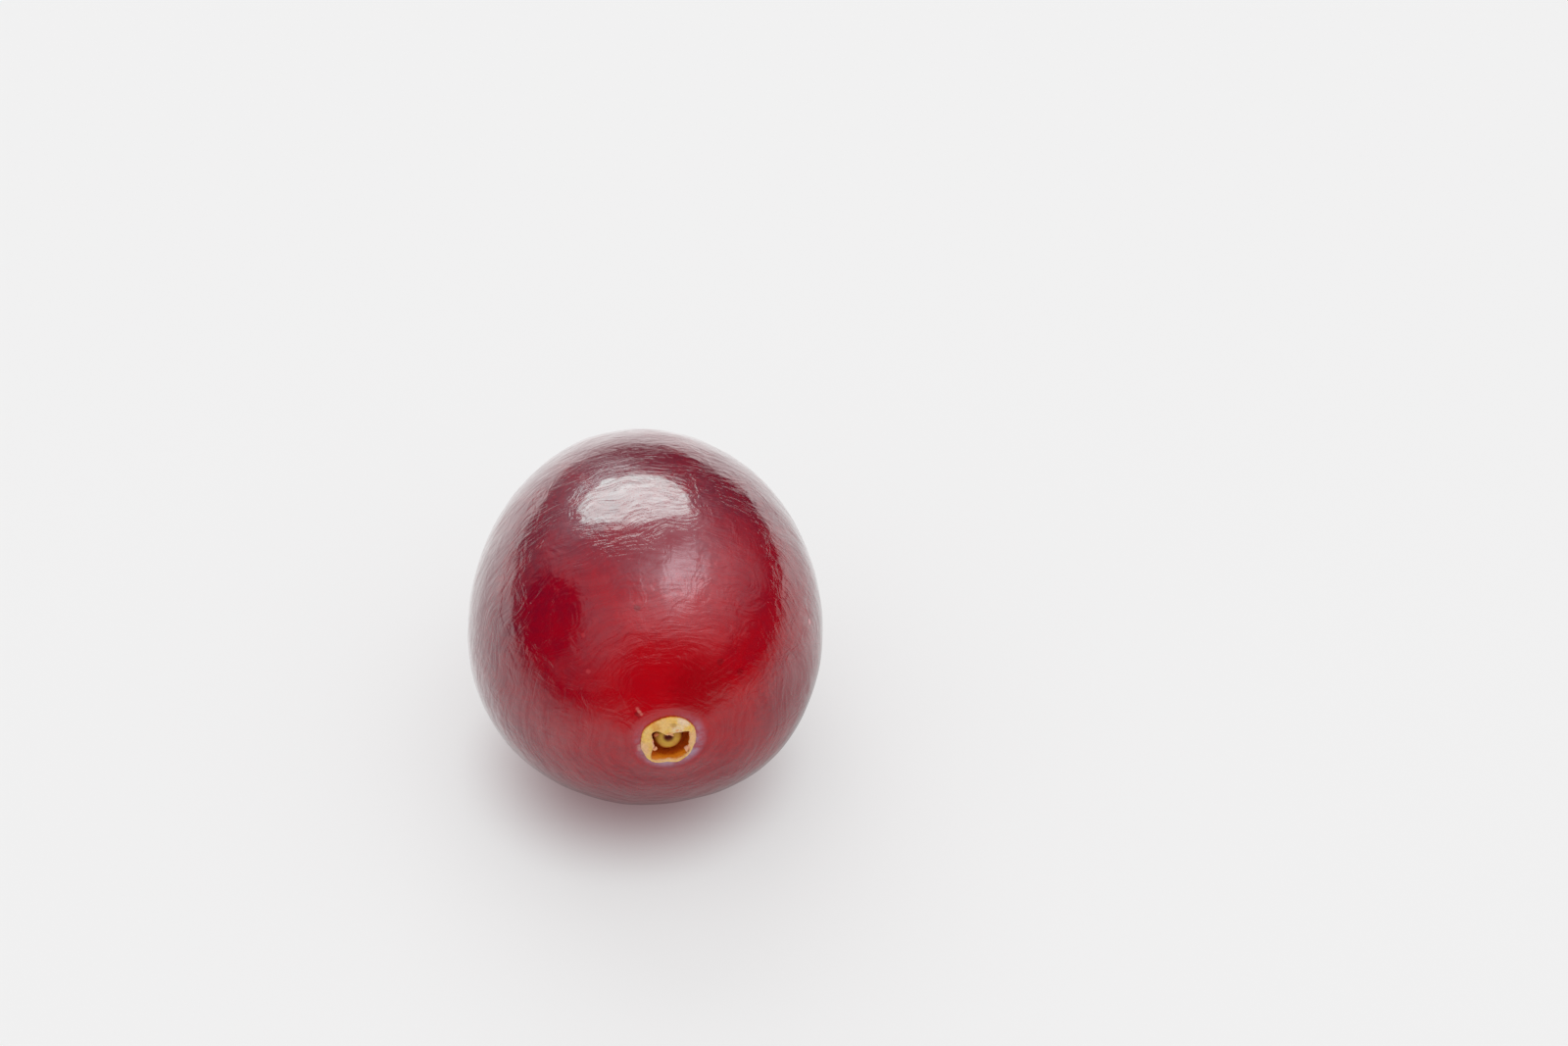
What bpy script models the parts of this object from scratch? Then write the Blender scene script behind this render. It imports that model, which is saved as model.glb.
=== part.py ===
"""A ripe cranberry, lying on its side as picked: the fruit, and the dry calyx that crowns its blossom end.

For Blender 4.5, in metres, +Z up. The blossom end points to -Y and the stem end to +Y. The origin is at the
centre of the bounding box's bottom face, which is the plane of the small flat spot that the fruit rests on.

Both pieces are modelled upright about their own axis, with the blossom end at +Z and the widest point of the
fruit near z = 0, and an empty then lays them down together.
"""

import math

import bmesh
import bpy
from mathutils import Matrix, Vector

MM = 0.001

# The fruit. Its outline is a slightly blunted ellipse that is fuller on the blossom side.
BERRY_RADIUS = 8.875 * MM
BERRY_LENGTH = 21.18 * MM
OUTLINE_POWER = 2.11
BLOSSOM_FULLNESS = 0.09
# Gentle swellings round the axis, over the seed chambers: how many, how high as a share, where the first is.
SWELLINGS = ((2, 0.0132, 6.4), (3, 0.0174, -44.1), (4, 0.0096, 27.7))
# The side that it lies on is the one it balances on: how strongly, as a slope, and how wide that side is.
UNDERSIDE_TURN = 0.070
UNDERSIDE_WIDTH = math.radians(30.0)
# Shallow dents and rises of the skin, as waves along and round the fruit: how many of each, height, phase.
UNDULATIONS = ((3.0, 5, 0.035 * MM, 0.4), (5.0, 3, 0.030 * MM, 2.1), (7.0, 8, 0.012 * MM, 4.0))

# The skin at the two ends.
BLOSSOM_SHOULDER = 0.10 * MM
BLOSSOM_SHOULDER_AT = 1.95 * MM
BLOSSOM_SHOULDER_WIDTH = 0.55 * MM
STEM_DIMPLE_DEPTH = 0.42 * MM
STEM_DIMPLE_RADIUS = 1.5 * MM
STEM_SCAR_RADIUS = 0.62 * MM
STEM_SCAR_RISE = 0.16 * MM
STEM_SCAR_EDGE = 0.16 * MM

# The calyx: a cup sunk in the blossom end, with four withered sepals folded in over its mouth. Its section is
# given as radius and height above the fruit's tip, from the rim down the outside and back up through the cup.
CALYX_RADIUS = 1.50 * MM
CALYX_ROOT_RADIUS = 1.30 * MM
CALYX_DEPTH = 0.95 * MM
CUP_RADIUS = 1.14 * MM
SEPAL_REACH = 0.40 * MM
SEPAL_UNDERSIDE = 0.04 * MM
RIM_SECTION = ((1.30 * MM, 0.22 * MM), (1.42 * MM, 0.17 * MM))
FLANGE_THICKNESS = 0.05 * MM
FLANGE_CHAMFER = 0.01 * MM
ROOT_SECTION = ((1.20 * MM, -0.83 * MM), (1.08 * MM, -CALYX_DEPTH), (0.0, -CALYX_DEPTH))
STYLE_SCAR_SECTION = (
    (0.0, -0.32 * MM),
    (0.12 * MM, -0.27 * MM),
    (0.17 * MM, -0.13 * MM),
    (0.24 * MM, -0.10 * MM),
)
NECTARY_SECTION = (
    (0.40 * MM, -0.13 * MM),
    (0.54 * MM, -0.22 * MM),
    (0.64 * MM, -0.38 * MM),
    (0.66 * MM, -0.60 * MM),
)
CUP_SECTION = (
    (0.74 * MM, -0.66 * MM),
    (1.00 * MM, -0.66 * MM),
    (1.11 * MM, -0.56 * MM),
    (CUP_RADIUS, -0.20 * MM),
    (CUP_RADIUS, SEPAL_UNDERSIDE - 0.02 * MM),
)
SEPAL_SECTION = (
    (CUP_RADIUS - 0.04 * MM, SEPAL_UNDERSIDE + 0.005 * MM),
    (CUP_RADIUS - SEPAL_REACH + 0.03 * MM, SEPAL_UNDERSIDE + 0.01 * MM),
    (CUP_RADIUS - SEPAL_REACH, SEPAL_UNDERSIDE + 0.06 * MM),
    (CUP_RADIUS - SEPAL_REACH + 0.05 * MM, 0.16 * MM),
    (CUP_RADIUS - 0.12 * MM, 0.21 * MM),
)
# Each sepal's place round the mouth, in degrees from +X towards up, and how far it reaches over the cup.
SEPALS = ((90.0, 0.86 * MM), (178.0, 0.50 * MM), (270.0, 0.13 * MM), (2.0, 0.36 * MM))
SEPAL_HALF_WIDTH = math.radians(78.0)
# The ragged edge of the sepals: how many nubs round the mouth, how high, where the first is.
SEPAL_NUBS = (9, 0.055 * MM, 0.6)

# The hollow that the calyx is rooted in follows it with this gap all round.
FIT_GAP = 0.05 * MM
SOCKET_TOP = 1.0 * MM
SOCKET_TAPER = ((0.0, -0.02 * MM), (0.10 * MM, -0.85 * MM - FIT_GAP), (0.20 * MM, -CALYX_DEPTH - FIT_GAP))

# How it lies: the blossom end is a little raised, as the fruit balances. Below its centre of mass it rests on a
# small flat spot, pressed up into the skin, whose surroundings rise gently to the round of the fruit.
AXIS_TILT = math.radians(6.0)
FLAT_SPOT_DEPTH = 0.16 * MM
FLAT_SPOT_CENTRE = (0.12 * MM, -0.15 * MM)
FLAT_SPOT_HALF = (1.25 * MM, 1.50 * MM)
FLAT_SPOT_RISE = math.radians(3.0)
PRESS_HALF = 8.0 * MM
PRESS_THICKNESS = 2.0 * MM

BERRY_SEGMENTS = 72
BERRY_RINGS = 52
POLE_CROWDING = 0.6
CALYX_STEPS = 56
WELD = 1e-6


def outline(along):
    """Radius of the fruit at a share of its half length, from -1 at the stem end to 1 at the blossom end."""
    blunt = (1 - abs(along) ** OUTLINE_POWER) ** (1 / OUTLINE_POWER)
    return BERRY_RADIUS * blunt * (1 + BLOSSOM_FULLNESS * along)


def smooth_step(value):
    value = min(1.0, max(0.0, value))
    return value * value * (3 - 2 * value)


def shoulder_rise(radius):
    """How far the skin swells out round the calyx, at a distance from the axis."""
    return BLOSSOM_SHOULDER * math.exp(-(((radius - BLOSSOM_SHOULDER_AT) / BLOSSOM_SHOULDER_WIDTH) ** 2))


def stem_rise(radius):
    """The dimple at the stem end, and the scar of the stalk that stands in it."""
    dimple = -STEM_DIMPLE_DEPTH * math.exp(-((radius / STEM_DIMPLE_RADIUS) ** 2))
    return dimple + STEM_SCAR_RISE * smooth_step((STEM_SCAR_RADIUS - radius) / STEM_SCAR_EDGE + 0.5)


def swelling(angle):
    """How much wider than the outline the fruit is, in a direction round its axis."""
    waves = sum(share * math.cos(count * (angle - math.radians(first))) for count, share, first in SWELLINGS)
    away = (angle + 1.5 * math.pi) % (2 * math.pi) - math.pi
    return 1 + waves - UNDERSIDE_TURN * away * math.exp(-((away / UNDERSIDE_WIDTH) ** 2))


def undulation(polar, angle):
    """Height of the skin's shallow dents and rises, which fade out towards both ends."""
    waves = sum(
        height * math.sin(along * polar + phase) * math.cos(around * angle + phase)
        for along, around, height, phase in UNDULATIONS
    )
    return waves * math.sin(polar) ** 2


def berry_point(polar, angle):
    """A point of the skin. polar runs from 0 at the blossom end to pi at the stem end."""
    along = math.cos(polar)
    radius = outline(along) * swelling(angle) + undulation(polar, angle)
    height = BERRY_LENGTH / 2 * along
    if along > 0:
        height += shoulder_rise(radius)
    else:
        height -= stem_rise(radius)
    return Vector((radius * math.cos(angle), radius * math.sin(angle), height))


def skin_height(radius):
    """Height of the skin near the blossom end, at a distance from the axis."""
    low, high = 0.0, math.pi / 2
    for _ in range(40):
        middle = (low + high) / 2
        if outline(math.cos(middle)) < radius:
            low = middle
        else:
            high = middle
    return BERRY_LENGTH / 2 * math.cos(low) + shoulder_rise(radius)


def material(name, colour, roughness):
    made = bpy.data.materials.new(name)
    made.use_nodes = True
    shader = made.node_tree.nodes["Principled BSDF"]
    shader.inputs["Base Color"].default_value = (*colour, 1)
    shader.inputs["Roughness"].default_value = roughness
    shader.inputs["Metallic"].default_value = 0
    return made


def add_object(name, mesh, collection, parent=None):
    made = bpy.data.objects.new(name, mesh)
    collection.objects.link(made)
    made.parent = parent
    return made


def add_cutter(name, mesh, collection, parent=None):
    cutter = add_object(name, mesh, collection, parent)
    cutter.hide_render = True
    cutter.display_type = "WIRE"
    return cutter


def cut(target, cutter):
    boolean = target.modifiers.new(f"cut_by_{cutter.name}", "BOOLEAN")
    boolean.operation = "DIFFERENCE"
    boolean.object = cutter
    boolean.solver = "EXACT"


def berry_mesh():
    """A sphere with every vertex moved to the fruit's surface, and its rings crowded towards both ends."""
    shape = bmesh.new()
    bmesh.ops.create_uvsphere(shape, u_segments=BERRY_SEGMENTS, v_segments=BERRY_RINGS, radius=1)
    for vertex in shape.verts:
        share = math.acos(max(-1.0, min(1.0, vertex.co.z))) / math.pi
        polar = math.pi * share - POLE_CROWDING * math.sin(2 * math.pi * share) / 2
        vertex.co = berry_point(polar, math.atan2(vertex.co.y, vertex.co.x))
    mesh = bpy.data.meshes.new("berry")
    shape.to_mesh(mesh)
    shape.free()
    mesh.shade_smooth()
    return mesh


def turned_mesh(name, profile, steps, collection):
    """A closed solid turned about Z from a profile that starts and ends on the axis, outer side first."""
    line = bpy.data.meshes.new(name)
    line.from_pydata(
        [(radius, 0, height) for radius, height in profile],
        [(index, index + 1) for index in range(len(profile) - 1)],
        [],
    )
    blank = add_object(f"{name}_profile", line, collection)
    screw = blank.modifiers.new("turn", "SCREW")
    screw.steps = screw.render_steps = steps
    screw.use_merge_vertices = True
    screw.merge_threshold = WELD / 10
    bpy.context.view_layer.update()
    graph = bpy.context.evaluated_depsgraph_get()
    mesh = bpy.data.meshes.new_from_object(blank.evaluated_get(graph))
    mesh.name = name
    bpy.data.objects.remove(blank)
    shape = bmesh.new()
    shape.from_mesh(mesh)
    bmesh.ops.remove_doubles(shape, verts=shape.verts, dist=WELD)
    bmesh.ops.recalc_face_normals(shape, faces=shape.faces)
    shape.to_mesh(mesh)
    shape.free()
    return mesh


def calyx_profile():
    """Half of the calyx's section. Its flange follows the skin round the hollow, a gap above it."""
    apex = skin_height(0)
    edge = skin_height(CALYX_RADIUS) - apex + FIT_GAP
    neck = skin_height(CALYX_ROOT_RADIUS) - apex + FIT_GAP
    flange = (
        (CALYX_RADIUS, edge + FLANGE_THICKNESS),
        (CALYX_RADIUS - FLANGE_CHAMFER, edge),
        (CALYX_ROOT_RADIUS, neck),
    )
    inside = (*STYLE_SCAR_SECTION, *NECTARY_SECTION, *CUP_SECTION, *SEPAL_SECTION)
    return [(radius, apex + height) for radius, height in (*RIM_SECTION, *flange, *ROOT_SECTION, *inside)]


def sepal_reach(angle):
    """How far the nearest sepals fold in over the cup, in a direction round the mouth."""
    count, height, phase = SEPAL_NUBS
    reach = height * math.cos(count * angle + phase) * math.sin(2 * angle) ** 2
    for place, length in SEPALS:
        away = abs((angle - math.radians(place) + math.pi) % (2 * math.pi) - math.pi)
        reach += length * smooth_step(1 - away / SEPAL_HALF_WIDTH)
    return reach


def calyx_mesh(collection):
    """The turned cup, with each sepal drawn in or out to its own reach."""
    profile = calyx_profile()
    mesh = turned_mesh("calyx", [*profile, profile[0]], CALYX_STEPS, collection)
    underside = skin_height(0) + SEPAL_UNDERSIDE
    for vertex in mesh.vertices:
        radius = math.hypot(vertex.co.x, vertex.co.y)
        if vertex.co.z < underside or radius > CUP_RADIUS - WELD:
            continue
        angle = math.atan2(vertex.co.y, vertex.co.x)
        share = (CUP_RADIUS - radius) / SEPAL_REACH
        moved = CUP_RADIUS - share * sepal_reach(angle)
        vertex.co.x, vertex.co.y = moved * math.cos(angle), moved * math.sin(angle)
    return mesh


def socket_mesh(collection):
    """The cutter for the hollow that the calyx sits in: the calyx's outside, larger all round by the gap."""
    apex = skin_height(0)
    radius = CALYX_ROOT_RADIUS + FIT_GAP
    profile = [
        (0, apex + SOCKET_TOP),
        (radius, apex + SOCKET_TOP),
        *((radius - inward, apex + height) for inward, height in SOCKET_TAPER),
        (0, apex - CALYX_DEPTH - FIT_GAP),
    ]
    return turned_mesh("calyx_socket", profile, CALYX_STEPS, collection)


def press_mesh():
    """The cutter for the flat spot: a block whose top has a small flat and slopes up gently all round it."""
    rise = (PRESS_HALF - max(FLAT_SPOT_HALF)) * math.tan(FLAT_SPOT_RISE)
    shape = bmesh.new()
    rings = [
        [shape.verts.new((x * half_x, y * half_y, height)) for x, y in ((-1, -1), (1, -1), (1, 1), (-1, 1))]
        for half_x, half_y, height in (
            (*FLAT_SPOT_HALF, 0),
            (PRESS_HALF, PRESS_HALF, rise),
            (PRESS_HALF, PRESS_HALF, -PRESS_THICKNESS),
        )
    ]
    shape.faces.new(rings[0])
    shape.faces.new(reversed(rings[2]))
    for inner, outer in zip(rings, rings[1:]):
        for index in range(4):
            after = (index + 1) % 4
            shape.faces.new((inner[index], outer[index], outer[after], inner[after]))
    bmesh.ops.recalc_face_normals(shape, faces=shape.faces)
    bmesh.ops.translate(shape, vec=(*FLAT_SPOT_CENTRE, 0), verts=shape.verts)
    mesh = bpy.data.meshes.new("resting_press")
    shape.to_mesh(mesh)
    shape.free()
    return mesh


def laid_down():
    """Turns the upright fruit so that its blossom end points to -Y, a little raised."""
    return Matrix.Rotation(math.pi / 2 - AXIS_TILT, 4, "X")


def bounds(meshes, turn):
    points = [turn @ vertex.co for mesh in meshes for vertex in mesh.vertices]
    low = Vector(min(point[axis] for point in points) for axis in range(3))
    high = Vector(max(point[axis] for point in points) for axis in range(3))
    return low, high


def main():
    for thing in list(bpy.data.objects):
        bpy.data.objects.remove(thing)
    parts = bpy.data.collections.new("cranberry")
    cutters = bpy.data.collections.new("cutters")
    for collection in (parts, cutters):
        bpy.context.scene.collection.children.link(collection)

    fruit = berry_mesh()
    crown = calyx_mesh(cutters)
    socket = socket_mesh(cutters)

    # Where the axis has to be for the box's bottom centre to be the origin.
    turn = laid_down()
    low, high = bounds((fruit, crown), turn)
    middle = (low + high) / 2
    axis = bpy.data.objects.new("fruit_axis", None)
    axis.matrix_world = Matrix.Translation((-middle.x, -middle.y, -low.z - FLAT_SPOT_DEPTH)) @ turn
    parts.objects.link(axis)

    berry = add_object("berry", fruit, parts, axis)
    berry.data.materials.append(material("berry_skin", (0.30, 0.008, 0.022), 0.28))
    calyx = add_object("calyx", crown, parts, axis)
    calyx.data.materials.append(material("dry_calyx", (0.62, 0.38, 0.13), 0.75))

    cut(berry, add_cutter("calyx_socket", socket, cutters, axis))
    cut(berry, add_cutter("resting_press", press_mesh(), cutters))


main()
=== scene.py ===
"""Dresses the cranberry: glossy crimson skin over the fruit, and the dry calyx at its blossom end.

All sizes are in metres, in the frame of the CAD model. The fruit lies along Y with its blossom
end at -Y, a little raised. Shapes are made upright about their own axis, with the blossom end at
+Z, and are then laid down in the mesh.
"""

import logging
import math
from dataclasses import dataclass, field
from enum import Enum
from typing import Iterable, Sequence

import bpy
import numpy as np
from mathutils import Matrix, Vector, noise


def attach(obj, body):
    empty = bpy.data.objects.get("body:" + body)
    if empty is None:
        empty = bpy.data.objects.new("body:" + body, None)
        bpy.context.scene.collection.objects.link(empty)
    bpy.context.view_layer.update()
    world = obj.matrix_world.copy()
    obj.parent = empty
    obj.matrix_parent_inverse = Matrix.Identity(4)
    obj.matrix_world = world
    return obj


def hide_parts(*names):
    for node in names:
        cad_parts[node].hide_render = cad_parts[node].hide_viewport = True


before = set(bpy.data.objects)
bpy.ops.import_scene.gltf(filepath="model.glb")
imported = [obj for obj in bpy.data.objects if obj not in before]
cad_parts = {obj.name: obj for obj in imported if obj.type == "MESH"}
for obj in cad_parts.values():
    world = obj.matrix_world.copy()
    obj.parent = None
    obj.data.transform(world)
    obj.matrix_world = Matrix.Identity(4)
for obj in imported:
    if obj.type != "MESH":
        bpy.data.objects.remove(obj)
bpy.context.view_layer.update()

MM = 0.001
Colour = tuple[float, float, float]
Place = tuple[float, float, float]
Span = tuple[float, float]
Profile = Sequence[tuple[float, float]]
Socket = bpy.types.NodeSocket
Feed = Socket | float | Sequence[float]

log = logging.getLogger("cranberry")

AXIS_TILT = math.radians(6.0)
AXIS_CENTRE = Vector((0.1466 * MM, 0.2397 * MM, 8.4235 * MM))
LAID_DOWN = Matrix.Translation(AXIS_CENTRE) @ Matrix.Rotation(math.pi / 2 - AXIS_TILT, 4, "X")
APEX = 10.59 * MM
FALLING = (1.0, 0.0)
WHITE = (1.0, 1.0, 1.0)


class Slot(Enum):
    """The record's material slots."""

    SKIN = "berry_skin"
    CALYX = "dry_calyx"


# Small helpers for shapes


def clear_selection() -> None:
    """Leaves object mode with nothing selected."""
    if bpy.context.object and bpy.context.object.mode != "OBJECT":
        bpy.ops.object.mode_set(mode="OBJECT")
    bpy.ops.object.select_all(action="DESELECT")


def make_active(piece: bpy.types.Object) -> None:
    """Selects one object alone and makes it the active one.

    Args:
        piece: The object.
    """
    clear_selection()
    piece.select_set(True)
    bpy.context.view_layer.objects.active = piece


def new_object(name: str, data: bpy.types.ID) -> bpy.types.Object:
    """Adds an object to the scene.

    Args:
        name: The object's name.
        data: Its mesh, light or camera.

    Returns:
        The new object.
    """
    made = bpy.data.objects.new(name, data)
    bpy.context.scene.collection.objects.link(made)
    return made


def wire_object(name: str, points: Profile) -> bpy.types.Object:
    """Makes an object of joined edges in the XZ plane.

    Args:
        name: The object's name.
        points: Radius and height of each point.

    Returns:
        The new object, active and selected alone.
    """
    corners = [(radius, 0.0, height) for radius, height in points]
    edges = [(index, index + 1) for index in range(len(points) - 1)]
    mesh = bpy.data.meshes.new(name)
    mesh.from_pydata(corners, edges, [])
    piece = new_object(name, mesh)
    make_active(piece)
    return piece


def spun(name: str, points: Profile, steps: int) -> bpy.types.Object:
    """Spins a profile about Z into a closed skin, without doubles and with its faces outwards.

    Args:
        name: The object's name.
        points: Radius and height of each point, from axis to axis or round in a loop.
        steps: How many steps make a turn.

    Returns:
        The new object, in object mode.
    """
    piece = wire_object(name, points)
    bpy.ops.object.mode_set(mode="EDIT")
    bpy.ops.mesh.select_all(action="SELECT")
    bpy.ops.mesh.spin(steps=steps, angle=math.tau, center=(0, 0, 0), axis=(0, 0, 1))
    bpy.ops.mesh.select_all(action="SELECT")
    bpy.ops.mesh.remove_doubles(threshold=2e-7)
    bpy.ops.mesh.normals_make_consistent(inside=False)
    bpy.ops.object.mode_set(mode="OBJECT")
    return piece


def refine(piece: bpy.types.Object, levels: int) -> None:
    """Smooths a mesh by subdivision and applies it.

    Args:
        piece: The object.
        levels: How many times each face is divided.
    """
    make_active(piece)
    modifier = piece.modifiers.new("refine", "SUBSURF")
    modifier.levels = modifier.render_levels = levels
    bpy.ops.object.modifier_apply(modifier=modifier.name)


def read_vertices(piece: bpy.types.Object, what: str) -> np.ndarray:
    """Reads a property of the mesh's vertices.

    Args:
        piece: The object.
        what: The property, of three numbers for each vertex.

    Returns:
        An array of three columns.
    """
    flat = np.empty(len(piece.data.vertices) * 3)
    piece.data.vertices.foreach_get(what, flat)
    return flat.reshape(-1, 3)


def points_of(piece: bpy.types.Object) -> np.ndarray:
    """The places of the mesh's vertices."""
    return read_vertices(piece, "co")


def put_points(piece: bpy.types.Object, points: np.ndarray) -> None:
    """Writes the vertices back to the mesh."""
    piece.data.vertices.foreach_set("co", np.ascontiguousarray(points, dtype=np.float64).ravel())
    piece.data.update()


def radius_and_angle(points: np.ndarray) -> tuple[np.ndarray, np.ndarray]:
    """Distance from the axis and angle round it, for each point."""
    return np.hypot(points[:, 0], points[:, 1]), np.arctan2(points[:, 1], points[:, 0])


def smooth_step(value: np.ndarray | float) -> np.ndarray | float:
    """A soft step from 0 to 1 as the value goes from 0 to 1."""
    value = np.clip(value, 0.0, 1.0)
    return value * value * (3 - 2 * value)


def bell(value: np.ndarray | float) -> np.ndarray | float:
    """A soft bump of height 1 at 0."""
    return np.exp(-np.square(value))


def wrapped(angle: np.ndarray | float) -> np.ndarray | float:
    """The angle brought to the range from minus pi to pi."""
    return (angle + math.pi) % math.tau - math.pi


def rough(point: Sequence[float], size: float, seed: float = 0.0) -> float:
    """Smooth noise from about -1 to 1 that changes over the given size."""
    return noise.noise(Vector(point) / size + Vector((seed, seed * 0.7, -seed)))


def lay_down(piece: bpy.types.Object) -> None:
    """Puts the upright mesh in its place in the frame, with the object left at the origin."""
    piece.data.transform(LAID_DOWN)
    piece.data.update()


def finish_piece(
    piece: bpy.types.Object,
    finish: bpy.types.Material,
    replaces: Iterable[str] = (),
    smooth: float = 180.0,
) -> bpy.types.Object:
    """Gives a finished mesh its material, shading and place in the model.

    Args:
        piece: The object, with its place in its mesh.
        finish: The material.
        replaces: The CAD nodes that it replaces.
        smooth: Edges flatter than this, in degrees, are shaded smooth.

    Returns:
        The same object.
    """
    piece.data.materials.clear()
    piece.data.materials.append(finish)
    make_active(piece)
    bpy.ops.object.shade_smooth_by_angle(angle=math.radians(smooth))
    clear_selection()
    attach(piece, "root")
    if replaces:
        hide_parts(*replaces)
    corners = points_of(piece)
    size = (corners.max(0) - corners.min(0)) / MM
    faces = len(piece.data.polygons)
    log.info("%s: %d faces, %.2f x %.2f x %.2f mm", piece.name, faces, *size)
    return piece


# Small helpers for materials


@dataclass
class NodeSketch:
    """Adds nodes to a tree, with their links, in short calls."""

    tree: bpy.types.NodeTree

    def node(self, kind: str, **settings: object) -> bpy.types.Node:
        """Adds a node.

        Args:
            kind: The node's type.
            settings: Its properties, and inputs={} for its sockets.

        Returns:
            The new node.
        """
        made = self.tree.nodes.new(kind)
        inputs = settings.pop("inputs", {})
        for name, value in settings.items():
            setattr(made, name, value)
        self.feed(made, inputs)
        return made

    def feed(self, node: bpy.types.Node, inputs: dict[str | int, Feed]) -> None:
        """Sets sockets of a node, or links them where the value is another node's output.

        Args:
            node: The node.
            inputs: The name or number of each socket, and its value.
        """
        for key, value in inputs.items():
            socket = node.inputs[key]
            if isinstance(value, Socket):
                self.tree.links.new(value, socket)
            elif socket.type == "RGBA":
                socket.default_value = (*value, 1.0)
            else:
                socket.default_value = value

    def math(self, operation: str, *values: Feed, clamp: bool = False) -> Socket:
        """Adds a Math node.

        Args:
            operation: What it does.
            values: Its inputs, as many as it needs.
            clamp: Whether the result is kept between 0 and 1.

        Returns:
            Its output.
        """
        inputs = dict(enumerate(values))
        made = self.node("ShaderNodeMath", operation=operation, use_clamp=clamp, inputs=inputs)
        return made.outputs[0]

    def spread(self, value: Feed, over: Span, to: Span = (0.0, 1.0)) -> Socket:
        """Maps a range softly to another.

        Args:
            value: The value.
            over: The range that it is read in.
            to: The range that it is mapped to.

        Returns:
            The mapped value.
        """
        keys = ("Value", "From Min", "From Max", "To Min", "To Max")
        inputs = dict(zip(keys, (value, *over, *to)))
        made = self.node("ShaderNodeMapRange", interpolation_type="SMOOTHSTEP", inputs=inputs)
        return made.outputs["Result"]

    def blend(self, share: Feed, first: Feed, second: Feed, how: str = "MIX") -> Socket:
        """Mixes two colours.

        Args:
            share: How much of the second colour shows, from 0 to 1.
            first: The first colour.
            second: The second colour.
            how: The way they are mixed.

        Returns:
            The mixed colour.
        """
        inputs = {"Factor": share, "A": first, "B": second}
        made = self.node("ShaderNodeMix", data_type="RGBA", blend_type=how, inputs=inputs)
        return made.outputs["Result"]

    def cloud(
        self, where: Socket, scale: Feed, detail: float, roughness: float = 0.5, warp: float = 0.0
    ) -> Socket:
        """Adds a noise texture.

        Args:
            where: The place on the surface.
            scale: How many clouds there are in a metre.
            detail: How many finer layers lie over the first.
            roughness: How strong the finer layers are.
            warp: How far the clouds are twisted.

        Returns:
            Its value.
        """
        inputs = {"Vector": where, "Scale": scale, "Detail": detail}
        inputs |= {"Roughness": roughness, "Distortion": warp}
        return self.node("ShaderNodeTexNoise", inputs=inputs).outputs["Fac"]

    def parts(self, where: Socket) -> Sequence[Socket]:
        """X, Y and Z of a place."""
        return self.node("ShaderNodeSeparateXYZ", inputs={"Vector": where}).outputs

    def vector(self, operation: str, first: Feed, second: Feed) -> bpy.types.Node:
        """Adds a vector math node of two inputs."""
        return self.node("ShaderNodeVectorMath", operation=operation, inputs={0: first, 1: second})

    def distance(self, where: Socket, middle: Feed) -> Socket:
        """How far a place is from a point."""
        return self.vector("DISTANCE", where, middle).outputs["Value"]

    def hypotenuse(self, across: Socket, along: Socket) -> Socket:
        """The length of two sides at right angles."""
        square = self.math("MULTIPLY", across, across)
        return self.math("SQRT", self.math("MULTIPLY_ADD", along, along, square))

    def grey(self, level: Socket) -> Socket:
        """A grey of the given level."""
        inputs = dict.fromkeys(range(3), level)
        return self.node("ShaderNodeCombineColor", inputs=inputs).outputs[0]

    def bump(self, height: Socket, strength: float, depth: float) -> Socket:
        """Turns a height into the direction that shading uses."""
        inputs = {"Height": height, "Strength": strength, "Distance": depth}
        return self.node("ShaderNodeBump", inputs=inputs).outputs["Normal"]


def new_group(
    name: str, inputs: dict[str, float | None], outputs: Sequence[str]
) -> tuple[NodeSketch, bpy.types.Node, bpy.types.Node]:
    """Makes an empty shader node group with named sockets.

    Args:
        name: The group's name.
        inputs: The name of each input and its default number, or None for a vector.
        outputs: The names of the outputs, which are all numbers.

    Returns:
        The group's sketch, its input node and its output node.
    """
    group = bpy.data.node_groups.new(name, "ShaderNodeTree")
    for label, value in inputs.items():
        kind = "NodeSocketVector" if value is None else "NodeSocketFloat"
        made = group.interface.new_socket(label, in_out="INPUT", socket_type=kind)
        if value is not None:
            made.default_value = value
    for label in outputs:
        group.interface.new_socket(label, in_out="OUTPUT", socket_type="NodeSocketFloat")
    taken = group.nodes.new("NodeGroupInput")
    given = group.nodes.new("NodeGroupOutput")
    return NodeSketch(group), taken, given


def new_material(name: str) -> tuple[bpy.types.Material, NodeSketch, bpy.types.Node]:
    """Makes a material.

    Args:
        name: The material's name.

    Returns:
        The material, its sketch and its Principled shader.
    """
    made = bpy.data.materials.new(name)
    made.use_nodes = True
    return made, NodeSketch(made.node_tree), made.node_tree.nodes["Principled BSDF"]


def fruit_coordinates(sketch: NodeSketch) -> Socket:
    """Turns object coordinates to the upright fruit: Z along its axis, the origin at its middle.

    Args:
        sketch: The material's sketch.

    Returns:
        The place on the upright fruit.
    """
    where = sketch.node("ShaderNodeTexCoord").outputs["Object"]
    back = LAID_DOWN.inverted()
    inputs = {"Vector": where, "Location": back.translation, "Rotation": back.to_euler()}
    turned = sketch.node("ShaderNodeMapping", vector_type="POINT", inputs=inputs)
    return turned.outputs["Vector"]


# Shared effects


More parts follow.
